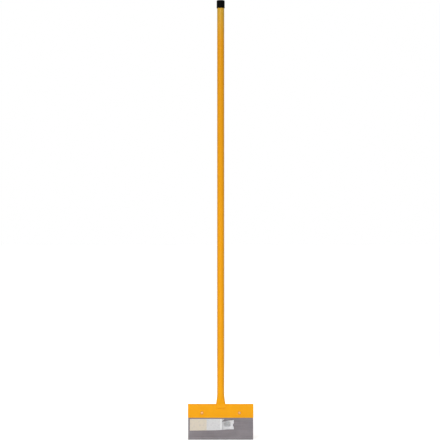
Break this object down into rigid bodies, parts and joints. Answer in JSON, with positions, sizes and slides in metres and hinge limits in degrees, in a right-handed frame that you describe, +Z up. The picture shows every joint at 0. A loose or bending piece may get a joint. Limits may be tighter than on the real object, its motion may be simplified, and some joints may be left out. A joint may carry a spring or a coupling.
{
  "type": "concrete scraper",
  "caption": "Long-handled scraper: painted steel tube with a pressed, flared end welded over a folded sheet holder that grips a riveted flat steel blade, with a plastic cap on top",
  "frame": {"origin": "level of the cutting edge, on the axis of the handle", "axes": "+Z up the handle from the cutting edge to the cap, +X along the blade to the right as seen from the front, and the front with the domed rivet heads and the ground bevel faces -Y"},
  "size_m": [0.2014, 0.0248, 1.35],
  "materials": {
    "yellow_paint": "satin",
    "black_plastic": "matte",
    "blade_steel": "satin",
    "rivet_steel": "satin"
  },
  "bodies": {
    "root": {"handle_tube": "yellow_paint", "end_cap": "black_plastic", "blade_holder": "yellow_paint", "blade": "blade_steel", "rivet_left": "rivet_steel", "rivet_right": "rivet_steel", "weld_front": "yellow_paint", "weld_back": "yellow_paint"}
  },
  "joints": []
}
